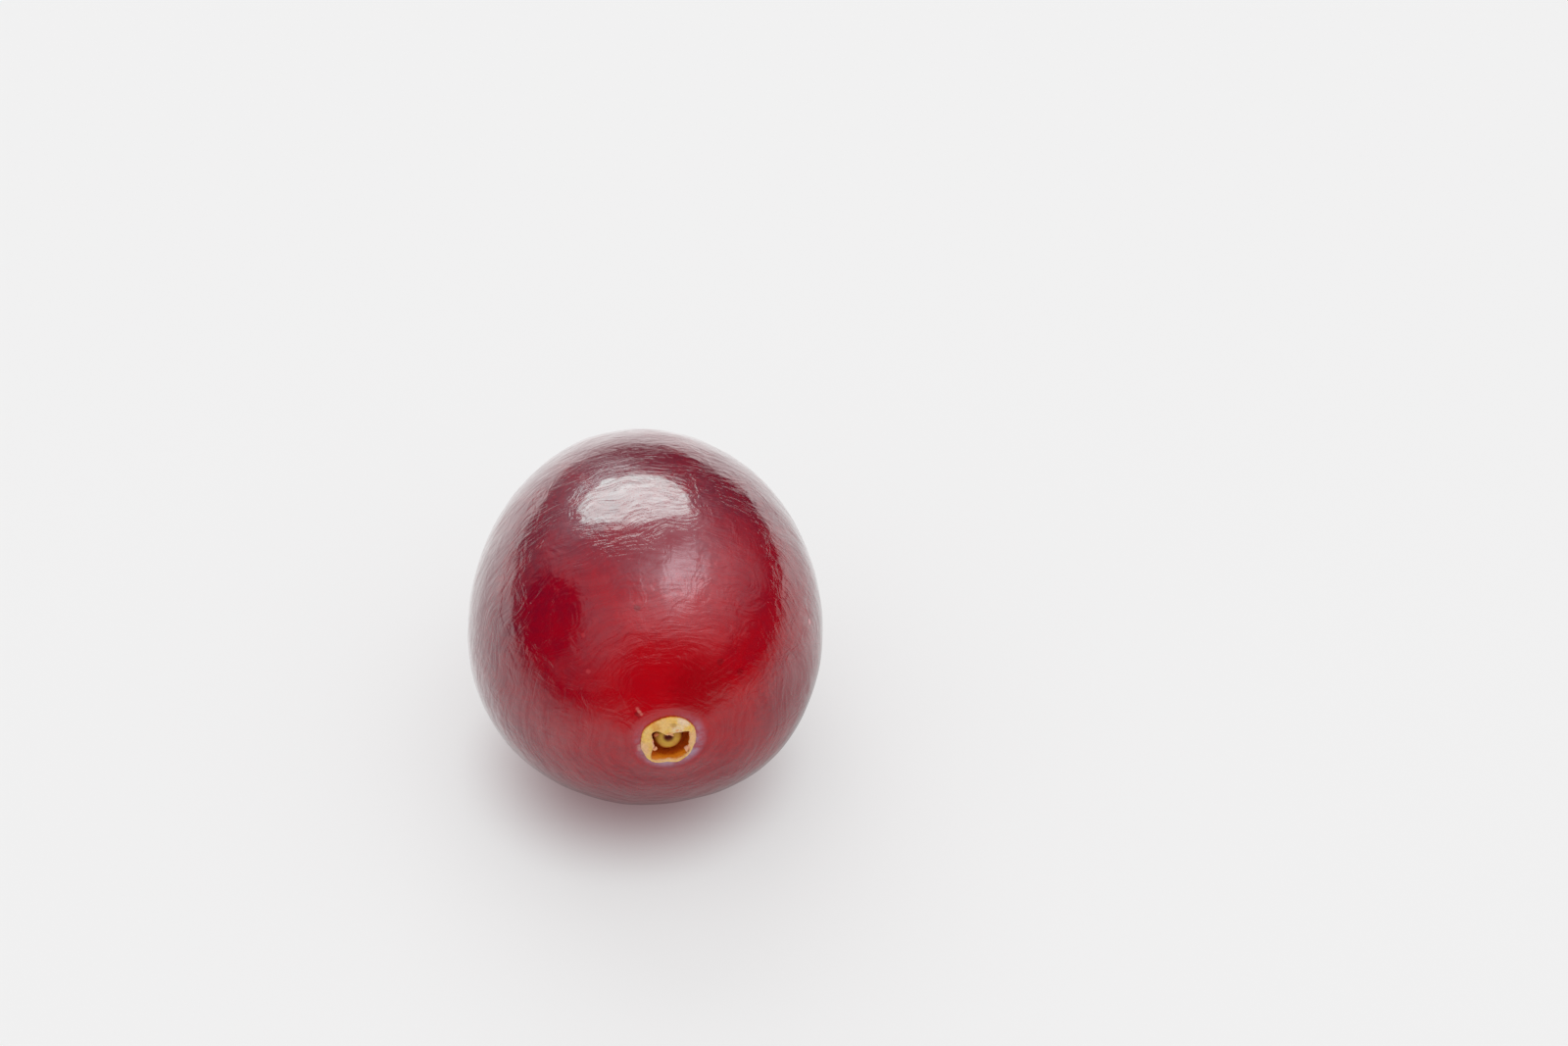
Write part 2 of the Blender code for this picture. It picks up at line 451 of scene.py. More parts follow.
@dataclass(frozen=True)
class CombedRelief:
    """Fine waxy relief that runs round the fruit, as if combed, with pebbles and swirls in it."""

    along_per_m: float = 4200.0
    around_per_m: float = 520.0
    pebble_per_m: float = 2600.0
    wander_per_m: float = 340.0
    wander_by: float = 1.9 * MM
    swirls_per_m: float = 850.0
    even_radius: float = 9.5 * MM

    def group(self) -> bpy.types.NodeTree:
        """Builds the node group: a place on the fruit in, a height and its streaks out.

        Returns:
            The group.
        """
        sockets = {"Place": None, "Streaks": 0.85, "Pebbles": 0.35, "Swirls": 1.55}
        sketch, taken, given = new_group("combed_relief", sockets, ("Height", "Streaks"))
        place = taken.outputs["Place"]
        inputs = {"Vector": place, "Scale": self.wander_per_m, "Detail": 1.0}
        wander = sketch.node("ShaderNodeTexNoise", inputs=inputs).outputs["Color"]
        wander = sketch.vector("SUBTRACT", wander, (0.5, 0.5, 0.5)).outputs[0]
        inputs = {0: wander, "Scale": self.wander_by}
        wander = sketch.node("ShaderNodeVectorMath", operation="SCALE", inputs=inputs).outputs[0]
        moved = sketch.vector("ADD", place, wander).outputs[0]
        x, y, z = sketch.parts(moved)
        polar = sketch.math("ARCTAN2", sketch.hypotenuse(x, y), z)
        inputs = {
            "X": sketch.math("MULTIPLY", x, self.around_per_m),
            "Y": sketch.math("MULTIPLY", y, self.around_per_m),
            "Z": sketch.math("MULTIPLY", polar, self.even_radius * self.along_per_m),
        }
        combed = sketch.node("ShaderNodeCombineXYZ", inputs=inputs).outputs["Vector"]
        streaks = sketch.cloud(combed, 1.0, 3.0, 0.62, 0.3)
        pebbles = sketch.cloud(place, self.pebble_per_m, 1.0)
        swirls = sketch.cloud(moved, self.swirls_per_m, 2.0, 0.6, 1.2)
        total = sketch.math("MULTIPLY", streaks, taken.outputs["Streaks"])
        total = sketch.math("MULTIPLY_ADD", pebbles, taken.outputs["Pebbles"], total)
        total = sketch.math("MULTIPLY_ADD", swirls, taken.outputs["Swirls"], total)
        sketch.feed(given, {"Height": total, "Streaks": streaks})
        return sketch.tree


@dataclass(frozen=True)
class Mottling:
    """Soft patches and specks that vary a colour over a natural surface."""

    patches_over: Span = (0.3, 0.7)
    specks_over: Span = (0.35, 0.65)

    def group(self) -> bpy.types.NodeTree:
        """Builds the node group: a place and two scales in, a share and specks out.

        Returns:
            The group.
        """
        sockets = {"Place": None, "Patches per metre": 250.0, "Specks per metre": 2500.0}
        sketch, taken, given = new_group("mottling", sockets, ("Patches", "Specks"))
        place, patches_per_m, specks_per_m = (taken.outputs[name] for name in sockets)
        patches = sketch.cloud(place, patches_per_m, 3.0, 0.55, 0.4)
        sketch.feed(given, {"Patches": sketch.spread(patches, self.patches_over)})
        specks = sketch.cloud(place, specks_per_m, 2.0, 0.6)
        sketch.feed(given, {"Specks": sketch.spread(specks, self.specks_over)})
        return sketch.tree


@dataclass(frozen=True)
class SoftSpot:
    """A round spot with a soft, slightly ragged edge, for bleached, bruised or waxy places."""

    edge_over: Span = (0.35, 1.0)

    def group(self) -> bpy.types.NodeTree:
        """Builds the node group: a place, a middle and a reach in, a mask out.

        Returns:
            The group.
        """
        sockets = {"Place": None, "Middle": None, "Reach": 1 * MM, "Ragged": 0.5}
        sockets["Grain per metre"] = 4000.0
        sketch, taken, given = new_group("soft_spot", sockets, ("Mask",))
        place, middle, reach, ragged, grain_per_m = (taken.outputs[name] for name in sockets)
        share = sketch.math("DIVIDE", sketch.distance(place, middle), reach)
        grain = sketch.cloud(place, grain_per_m, 2.0, 0.6)
        share = sketch.math("MULTIPLY_ADD", sketch.math("SUBTRACT", grain, 0.5), ragged, share)
        sketch.feed(given, {"Mask": sketch.spread(share, self.edge_over, FALLING)})
        return sketch.tree


@dataclass
class SharedEffects:
    """The node groups that more than one finish uses."""

    combed: bpy.types.NodeTree = field(init=False)
    mottling: bpy.types.NodeTree = field(init=False)
    soft_spot: bpy.types.NodeTree = field(init=False)

    def __post_init__(self) -> None:
        """Builds each group once."""
        self.combed = CombedRelief().group()
        self.mottling = Mottling().group()
        self.soft_spot = SoftSpot().group()

    def use(
        self, sketch: NodeSketch, group: bpy.types.NodeTree, **inputs: Feed
    ) -> bpy.types.NodeOutputs:
        """Places a group in a material.

        Args:
            sketch: The material's sketch.
            group: The group.
            inputs: Values of its sockets. Underscores in their names stand for spaces.

        Returns:
            The group's outputs.
        """
        made = sketch.node("ShaderNodeGroup", node_tree=group)
        sketch.feed(made, {key.replace("_", " "): value for key, value in inputs.items()})
        return made.outputs

    def mottle(
        self, sketch: NodeSketch, place: Socket, patches_per_m: float, specks_per_m: float
    ) -> bpy.types.NodeOutputs:
        """Places the mottling in a material.

        Args:
            sketch: The material's sketch.
            place: The place on the upright fruit.
            patches_per_m: How fine the patches are.
            specks_per_m: How fine the specks are.

        Returns:
            The mottling's outputs.
        """
        scales = {"Patches_per_metre": patches_per_m, "Specks_per_metre": specks_per_m}
        return self.use(sketch, self.mottling, Place=place, **scales)

    def dab(
        self, sketch: NodeSketch, colour: Feed, tint: Colour, share: float, **spot: Feed
    ) -> Socket:
        """Paints a soft spot of another colour over a colour.

        Args:
            sketch: The material's sketch.
            colour: The colour below.
            tint: The spot's colour.
            share: How much of it covers at its middle, from 0 to 1.
            spot: The spot's Place, Middle, Reach and edge.

        Returns:
            The painted colour.
        """
        mask = self.use(sketch, self.soft_spot, **spot)["Mask"]
        return sketch.blend(sketch.math("MULTIPLY", mask, share), colour, tint)


# Finishes


@dataclass(frozen=True)
class CrimsonSkin:
    """The fruit's waxy skin: deep crimson, mottled, with a pale halo round the calyx.

    Its colour is painted with a glow, brightest low on its face by the calyx as if lit through,
    that fades into deep crimson as painted shade towards the top, the flanks, the underside and
    the stem end. Each fleck is its place across, up and along the upright fruit, its reach, and
    its colour. The places and the reach are in millimetres. The four largest flecks trim the
    painted glow and paint more shade on the top, the underside and the right flank.
    """

    # Painted glow and shade: bright at the glow's middle, fading to deep further away.
    bright: Colour = (0.53, 0.001, 0.008)
    deep: Colour = (0.19, 0.003, 0.020)
    glow_at: Place = (1.0 * MM, 2.5 * MM, 9.6 * MM)
    fades_over: Span = (0.0, 12.5 * MM)
    mottling: Span = (250.0, 2500.0)
    patchy: float = 0.24
    speckled: float = 0.14
    # Painted glow: a brighter, redder core of the painted glow through the fruit.
    glow_core: Colour = (0.62, 0.001, 0.006)
    glow_core_at: Place = (-1.4 * MM, 2.9 * MM, 10.0 * MM)
    glow_core_reach: float = 3.2 * MM
    glow_core_share: float = 0.45
    glow_core_ragged: float = 0.4
    glow_core_grain_per_m: float = 900.0
    flecks: tuple[tuple[float, float, float, float, Colour], ...] = (
        (-1.47, 1.85, 10.38, 0.13, (0.72, 0.12, 0.11)),
        (-1.38, 1.70, 10.42, 0.14, (0.80, 0.22, 0.18)),
        (-1.28, 1.56, 10.46, 0.11, (0.76, 0.18, 0.15)),
        (-1.52, 1.58, 10.43, 0.15, (0.28, 0.003, 0.006)),
        (-1.42, 1.43, 10.47, 0.13, (0.32, 0.003, 0.006)),
        (7.73, 2.41, 5.44, 0.20, (0.85, 0.30, 0.34)),
        (-3.77, 4.94, 8.12, 0.17, (0.56, 0.03, 0.04)),
        (-3.69, 3.44, 9.09, 0.17, (0.56, 0.03, 0.04)),
        (-1.08, 6.26, 8.07, 0.22, (0.24, 0.001, 0.004)),
        (2.76, 3.58, 9.50, 0.26, (0.30, 0.001, 0.006)),
        (3.72, 2.80, 9.42, 0.24, (0.32, 0.001, 0.006)),
        # The next four flecks are painted light and shade: one trims the painted glow, three paint
        # shade on the top, the underside and the right flank.
        (1.60, 2.45, 10.10, 2.10, (0.42, 0.001, 0.006)),
        (0.70, 8.40, 5.60, 3.60, (0.24, 0.002, 0.016)),
        (0.10, -5.40, 7.80, 6.60, (0.22, 0.002, 0.016)),
        (6.70, 0.10, 7.60, 3.60, (0.25, 0.003, 0.018)),
        (-1.40, -0.44, 10.45, 0.30, (0.74, 0.40, 0.33)),
        (5.90, -2.20, 6.90, 0.18, (0.60, 0.10, 0.11)),
        (-6.60, 4.10, -2.30, 0.22, (0.55, 0.09, 0.10)),
        (3.10, 7.40, -4.20, 0.20, (0.52, 0.10, 0.11)),
        (6.70, 4.80, -3.60, 0.24, (0.10, 0.001, 0.004)),
    )
    fleck_share: float = 0.75
    fleck_ragged: float = 0.9
    # A pale pinkish halo round the calyx, ragged and strongest below it.
    pale_halo: Colour = (0.48, 0.30, 0.42)
    pale_halo_over: Span = (1.45 * MM, 2.0 * MM)
    pale_halo_above: Span = (8.0 * MM, 9.0 * MM)
    pale_halo_side: tuple[float, float, float] = (110.0, -380.0, 0.62)
    pale_halo_torn_per_m: float = 1500.0
    pale_halo_torn: tuple[Span, Span] = ((0.34, 0.66), (0.25, 1.0))
    gloss: float = 0.05
    dulled: float = 0.06
    haze: float = 0.07
    wax_ior: float = 1.5
    wax_thin: tuple[Span, Span] = ((0.36, 0.60), (0.60, 1.0))
    relief: float = 0.045 * MM

    def colour(
        self,
        shared: SharedEffects,
        sketch: NodeSketch,
        place: Socket,
        mottles: bpy.types.NodeOutputs,
    ) -> Socket:
        """Paints a glow as of light through the fruit fading into shade, the mottling, the glow's
        core and the flecks.

        Args:
            shared: The shared effects.
            sketch: The material's sketch.
            place: The place on the upright fruit.
            mottles: The outputs of the mottling.

        Returns:
            The colour below the pale halo.
        """
        # Painted glow fading into painted shade away from the glow's middle.
        shade = sketch.spread(sketch.distance(place, self.glow_at), self.fades_over)
        for part, share in (("Patches", self.patchy), ("Specks", self.speckled)):
            shade = sketch.math("SUBTRACT", shade, share / 2)
            shade = sketch.math("MULTIPLY_ADD", mottles[part], share, shade)
        shade = sketch.math("ADD", shade, 0.0, clamp=True)
        colour = sketch.blend(shade, self.bright, self.deep)
        # Painted glow: the brighter core of the painted glow.
        glow_core_spot = {"Middle": self.glow_core_at, "Reach": self.glow_core_reach, "Ragged": self.glow_core_ragged}
        glow_core_spot["Grain_per_metre"] = self.glow_core_grain_per_m
        colour = shared.dab(sketch, colour, self.glow_core, self.glow_core_share, Place=place, **glow_core_spot)
        for *middle, reach, tint in self.flecks:
            fleck = {"Middle": [part * MM for part in middle], "Reach": reach * MM}
            fleck["Ragged"] = self.fleck_ragged
            colour = shared.dab(sketch, colour, tint, self.fleck_share, Place=place, **fleck)
        return colour

    def pale_halo_mask(self, sketch: NodeSketch, place: Socket) -> Socket:
        """Makes the mask of the pale halo round the calyx, which is torn and lies mostly below it.

        Args:
            sketch: The material's sketch.
            place: The place on the upright fruit.

        Returns:
            The mask.
        """
        x, y, z = sketch.parts(place)
        halo = sketch.spread(sketch.hypotenuse(x, y), self.pale_halo_over, FALLING)
        halo = sketch.math("MULTIPLY", halo, sketch.spread(z, self.pale_halo_above))
        across, up, middle = self.pale_halo_side
        side = sketch.math("MULTIPLY_ADD", y, up, middle)
        side = sketch.math("MULTIPLY_ADD", x, across, side, clamp=True)
        torn = sketch.cloud(place, self.pale_halo_torn_per_m, 3.0, 0.65)
        torn = sketch.spread(torn, *self.pale_halo_torn)
        return sketch.math("MULTIPLY", sketch.math("MULTIPLY", halo, side), torn)

    def make(self, shared: SharedEffects) -> bpy.types.Material:
        """Builds the material.

        Args:
            shared: The shared effects.

        Returns:
            The material.
        """
        made, sketch, shader = new_material("crimson_skin")
        place = fruit_coordinates(sketch)
        mottles = shared.mottle(sketch, place, *self.mottling)
        colour = self.colour(shared, sketch, place, mottles)
        combed = shared.use(sketch, shared.combed, Place=place)
        inputs = {
            "Base Color": sketch.blend(self.pale_halo_mask(sketch, place), colour, self.pale_halo),
            "Roughness": sketch.math("MULTIPLY_ADD", mottles["Specks"], self.dulled, self.gloss),
            "IOR": self.wax_ior,
            "Coat Roughness": self.haze,
            "Coat IOR": self.wax_ior,
            "Coat Weight": sketch.spread(combed["Streaks"], *self.wax_thin),
            "Normal": sketch.bump(combed["Height"], 1.0, self.relief),
        }
        sketch.feed(shader, inputs)
        return made


@dataclass(frozen=True)
class DryCalyx:
    """Withered calyx tissue: pale sepals with paler and darker patches, a painted highlight along
    the mouth's edge, and an amber cup wall that browns deeper down, which is painted shade.

    Each patch is its place across and up the calyx, its reach, both in millimetres, and its
    colour. Heights are measured from the fruit's tip.
    """

    name: str = "dry_calyx"
    mottling: Span = (1700.0, 9000.0)
    tan: Colour = (1.0, 0.62, 0.23)
    straw: Colour = (0.98, 0.60, 0.13)
    # Painted highlight: the pale colour along the mouth's sharp edge.
    edge_highlight: Colour = (1.0, 0.60, 0.32)
    # The wall is amber at the top; the brown deeper in the cup is painted shade.
    amber: Colour = (0.80, 0.22, 0.001)
    brown: Colour = (0.52, 0.075, 0.001)
    patches: tuple[tuple[float, float, float, Colour], ...] = (
        (0.78, 1.10, 0.50, (1.0, 0.74, 0.56)),
        (0.42, 0.64, 0.44, (1.0, 0.75, 0.48)),
        (0.24, 0.92, 0.22, (0.66, 0.36, 0.10)),
        (-0.66, 0.86, 0.34, (0.84, 0.40, 0.08)),
        (-1.00, -0.36, 0.38, (0.92, 0.53, 0.05)),
        (-1.36, -0.42, 0.66, (0.94, 0.56, 0.32)),
        (-0.10, -1.45, 0.70, (0.98, 0.64, 0.28)),
        (1.30, 0.00, 0.75, (0.98, 0.56, 0.28)),
        (1.10, -1.00, 0.45, (0.98, 0.68, 0.36)),
    )
    patch_height: float = 0.15 * MM
    patch_share: float = 0.8
    patch_ragged: float = 0.9
    dust: Span = (0.93, 0.14)
    edge_highlight_share: float = 0.75
    # Painted shade: a brown patch on the wall at the mouth's lower left.
    cup_shade_at: Place = (-0.72 * MM, -0.80 * MM, APEX)
    cup_shade_reach: float = 0.34 * MM
    cup_shade_share: float = 0.8
    wall_shade_over: Span = (-0.27 * MM, -0.01 * MM)
    sepals_over: Span = (-0.03 * MM, 0.06 * MM)

    def make(self, shared: SharedEffects) -> bpy.types.Material:
        """Builds the material.

        Args:
            shared: The shared effects.

        Returns:
            The material.
        """
        made, sketch, shader = new_material(self.name)
        place = fruit_coordinates(sketch)
        mottles = shared.mottle(sketch, place, *self.mottling)
        sepal = sketch.blend(mottles["Patches"], self.straw, self.tan)
        for x, y, reach, colour in self.patches:
            spot = {"Middle": (x * MM, y * MM, APEX + self.patch_height), "Reach": reach * MM}
            spot["Ragged"] = self.patch_ragged
            sepal = shared.dab(sketch, sepal, colour, self.patch_share, Place=place, **spot)
        least, more = self.dust
        dust = sketch.grey(sketch.math("MULTIPLY_ADD", mottles["Specks"], more, least))
        sepal = sketch.blend(1.0, sepal, dust, "MULTIPLY")
        # Painted highlight along the mouth's edge, by each ring's share.
        edge = sketch.node("ShaderNodeAttribute", attribute_name="edge_highlight").outputs["Fac"]
        sepal = sketch.blend(sketch.math("MULTIPLY", edge, self.edge_highlight_share), sepal, self.edge_highlight)
        height = sketch.math("SUBTRACT", sketch.parts(place)[2], APEX)
        # Painted shade: the wall browns deeper in the cup, and more at its lower left.
        wall = sketch.blend(sketch.spread(height, self.wall_shade_over), self.brown, self.amber)
        cup_shade = {"Middle": self.cup_shade_at, "Reach": self.cup_shade_reach}
        wall = shared.dab(sketch, wall, self.brown, self.cup_shade_share, Place=place, **cup_shade)
        wrinkles = sketch.math("ADD", mottles["Specks"], mottles["Patches"])
        inputs = {
            "Base Color": sketch.blend(sketch.spread(height, self.sepals_over), wall, sepal),
            "Roughness": 0.55,
            "Specular IOR Level": 0.15,
            "Subsurface Weight": 0.12,
            "Subsurface Radius": (1.0, 0.4, 0.1),
            "Subsurface Scale": 0.12 * MM,
            "Normal": sketch.bump(wrinkles, 0.8, 0.02 * MM),
        }
        sketch.feed(shader, inputs)
        return made


@dataclass(frozen=True)
class NectaryFlesh:
    """The moist olive disc in the cup, with the dark scar of the style at its middle and painted
    shade, brown, where its edge falls into the moat.
    """

    olive: Colour = (0.72, 0.44, 0.055)
    mottling: Span = (2500.0, 12000.0)
    rust: Colour = (0.66, 0.26, 0.045)
    rust_share: float = 0.8
    # Painted shade: the disc browns towards its edge, where it falls into the moat.
    rim: Colour = (0.40, 0.075, 0.006)
    rim_shade_over: Span = (0.52 * MM, 0.76 * MM)
    scar: Colour = (0.13, 0.005, 0.001)
    scar_over: Span = (0.14 * MM, 0.37 * MM)

    def make(self, shared: SharedEffects) -> bpy.types.Material:
        """Builds the material.

        Args:
            shared: The shared effects.

        Returns:
            The material.
        """
        made, sketch, shader = new_material("nectary_flesh")
        place = fruit_coordinates(sketch)
        x, y, _ = sketch.parts(place)
        radius = sketch.hypotenuse(x, y)
        mottles = shared.mottle(sketch, place, *self.mottling)
        rusty = sketch.math("MULTIPLY", mottles["Patches"], self.rust_share)
        colour = sketch.blend(rusty, self.olive, self.rust)
        # Painted shade where the disc's edge falls into the moat.
        colour = sketch.blend(sketch.spread(radius, self.rim_shade_over), colour, self.rim)
        inputs = {
            "Base Color": sketch.blend(sketch.spread(radius, self.scar_over), self.scar, colour),
            "Roughness": 0.45,
            "Specular IOR Level": 0.25,
            "Normal": sketch.bump(mottles["Specks"], 0.5, 0.01 * MM),
        }
        sketch.feed(shader, inputs)
        return made


@dataclass(frozen=True)
class CorkyScar:
    """The brown cork that closes the scar of the stalk."""

    light: Colour = (0.34, 0.17, 0.07)
    mottling: Span = (2600.0, 9000.0)
    dark: Colour = (0.09, 0.03, 0.012)

    def make(self, shared: SharedEffects) -> bpy.types.Material:
        """Builds the material.

        Args:
            shared: The shared effects.

        Returns:
            The material.
        """
        made, sketch, shader = new_material("corky_scar")
        place = fruit_coordinates(sketch)
        mottles = shared.mottle(sketch, place, *self.mottling)
        inputs = {
            "Base Color": sketch.blend(mottles["Patches"], self.dark, self.light),
            "Roughness": 0.8,
            "Normal": sketch.bump(mottles["Specks"], 0.8, 0.03 * MM),
        }
        sketch.feed(shader, inputs)
        return made


# The fruit


@dataclass
class Fruit:
    """The berry's skin: an egg-shaped outline turned about its axis, swollen and dented.

    A swelling is how many times it comes round, its share of the radius and where it starts, in
    degrees. A layer of dents is its depth in millimetres, its size and its seed.
    """

    radius: float = 8.875 * MM
    length: float = 21.18 * MM
    power: float = 2.11
    fullness: float = 0.09
    swellings: tuple[tuple[int, float, float], ...] = (
        (2, 0.0132, 6.4),
        (3, 0.0174, -44.1),
        (4, 0.0096, 27.7),
    )
    swells_from: float = 1.45 * MM
    swells_within: float = 0.8 * MM
    underside_turn: float = 0.070
    underside_width: float = math.radians(30.0)
    shoulder: tuple[float, float, float] = (0.10 * MM, 1.95 * MM, 0.55 * MM)
    dimple: tuple[float, float] = (0.42 * MM, 1.5 * MM)
    socket_radius: float = 1.24 * MM
    socket_depth: float = 1.0 * MM
    layers: tuple[tuple[float, float, float], ...] = (
        (0.042, 3.6 * MM, 3.0),
        (0.019, 1.5 * MM, 11.0),
        (0.0055, 0.75 * MM, 23.0),
        (0.0035, 0.42 * MM, 41.0),
    )
    fine_squash: float = 1.6
    combed_stretch: float = 0.30
    dents_from: float = 1.4 * MM
    dents_within: float = 1.6 * MM
    dents_inward: float = 0.03 * MM
    flat_centre: tuple[float, float] = (0.12 * MM, -0.15 * MM)
    flat_half: tuple[float, float] = (1.25 * MM, 1.50 * MM)
    flat_rise: float = math.radians(3.0)
    rings: int = 146
    crowding: float = 0.28
    steps: int = 150

    def outline(self, along: np.ndarray | float) -> np.ndarray | float:
        """Radius at a share of the half length, from -1 at the stem to 1 at the blossom end."""
        blunt = (1 - np.abs(along) ** self.power) ** (1 / self.power)
        return self.radius * blunt * (1 + self.fullness * along)

    def end_relief(self, radius: float, blossom: bool) -> float:
        """How far the skin stands out near an end.

        Args:
            radius: The distance from the axis.
            blossom: Whether it is the shoulder of the calyx, or else the dimple of the stalk.

        Returns:
            The relief, above 0 where it stands out.
        """
        if blossom:
            rise, at, width = self.shoulder
            return rise * float(bell((radius - at) / width))
        depth, wide = self.dimple
        return -depth * float(bell(radius / wide))

    def profile(self) -> list[tuple[float, float]]:
        """Draws the section from the floor of the calyx's socket over the skin to the stem end.

        Returns:
            Radius and height of each point.
        """
        edge, bottom = self.socket_radius, APEX - self.socket_depth
        points = [(0.0, bottom), (0.5 * MM, bottom), (1.0 * MM, bottom), (edge - 0.12 * MM, bottom)]
        points += [(edge - 0.02 * MM, bottom + 0.08 * MM), (edge, bottom + 0.3 * MM)]
        started = False
        for index in range(1, self.rings + 1):
            share = index / self.rings
            polar = math.pi * share - self.crowding * math.sin(math.tau * share) / 2
            along = math.cos(polar)
            radius = 0.0 if index == self.rings else float(self.outline(along))
            blossom = along > 0
            relief = self.end_relief(radius, blossom)
            height = self.length / 2 * along + (relief if blossom else -relief)
            if blossom and radius < edge + 0.05 * MM:
                continue
            if not started:
                points += [(edge, height - 0.06 * MM), (edge + 0.03 * MM, height - 0.01 * MM)]
                started = True
            points.append((radius, height))
        return points

    def swelling(self, angle: np.ndarray) -> np.ndarray:
        """Works out how much wider than the outline the fruit is.

        Args:
            angle: The directions round its axis.

        Returns:
            The width in each direction, where 1 is the outline's.
        """
        waves = sum(
            share * np.cos(count * (angle - math.radians(first)))
            for count, share, first in self.swellings
        )
        away = wrapped(angle + math.pi / 2)
        return 1 + waves - self.underside_turn * away * bell(away / self.underside_width)

    def dents(self, points: np.ndarray, normals: np.ndarray) -> np.ndarray:
        """Moves the skin in and out by its dents, wrinkles and pebbles.

        Args:
            points: The skin's points, upright.
            normals: The outward direction at each.

        Returns:
            The moved points.
        """
        height = np.empty(len(points))
        for index, (x, y, z) in enumerate(points):
            polar = math.atan2(math.hypot(x, y), z) * self.radius
            fine = (x, y, z * self.fine_squash)
            combed = (x * self.combed_stretch, y * self.combed_stretch, polar)
            places = ((x, y, z), (x, y, z), fine, combed)
            height[index] = MM * sum(
                depth * rough(place, size, seed)
                for place, (depth, size, seed) in zip(places, self.layers)
            )
        radius, _ = radius_and_angle(points)
        kept = smooth_step((radius - self.dents_from) / self.dents_within)
        return points + normals * ((height - self.dents_inward) * kept)[:, None]

    def press(self, points: np.ndarray) -> np.ndarray:
        """Presses the laid-down skin up to the small flat spot that it rests on.

        Args:
            points: The skin's points.

        Returns:
            The moved points.
        """
        beside = np.maximum(
            np.abs(points[:, 0] - self.flat_centre[0]) - self.flat_half[0],
            np.abs(points[:, 1] - self.flat_centre[1]) - self.flat_half[1],
        )
        floor = np.maximum(beside, 0.0) * math.tan(self.flat_rise)
        pressed = points.copy()
        pressed[:, 2] = np.maximum(points[:, 2], floor)
        return pressed

    def build(self, finish: bpy.types.Material) -> bpy.types.Object:
        """Spins, swells, dents and lays down the skin.

        Args:
            finish: The material.

        Returns:
            The finished skin.
        """
        skin = spun("berry_skin", self.profile(), self.steps)
        points = points_of(skin)
        radius, angle = radius_and_angle(points)
        away = smooth_step((radius - self.swells_from) / self.swells_within)
        near_socket = (points[:, 2] > 0) * (1 - away)
        swell = 1 + (self.swelling(angle) - 1) * (1 - near_socket)
        points[:, :2] *= swell[:, None]
        put_points(skin, points)
        refine(skin, 1)
        put_points(skin, self.dents(points_of(skin), read_vertices(skin, "normal")))
        lay_down(skin)
        put_points(skin, self.press(points_of(skin)))
        return finish_piece(skin, finish, replaces=("berry",), smooth=60.0)


# The calyx


class Edge(Enum):
    """What a ring of the calyx's section follows round the mouth."""

    ROUND = "round"
    RIM = "rim"
    WALL = "wall"


@dataclass(frozen=True)
class Ring:
    """One ring of the section: how it goes round, how far in, its height and its share of the
    painted edge highlight.

    The offset and the height, which is measured from the fruit's tip, are in millimetres.
    """

    edge: Edge
    inward: float
    offset: float
    height: float
    edge_highlight: float = 0.0


def rings(edge: Edge, *rows: tuple[float, ...]) -> tuple[Ring, ...]:
    """Makes rings that follow the same edge."""
    return tuple(Ring(edge, *row) for row in rows)


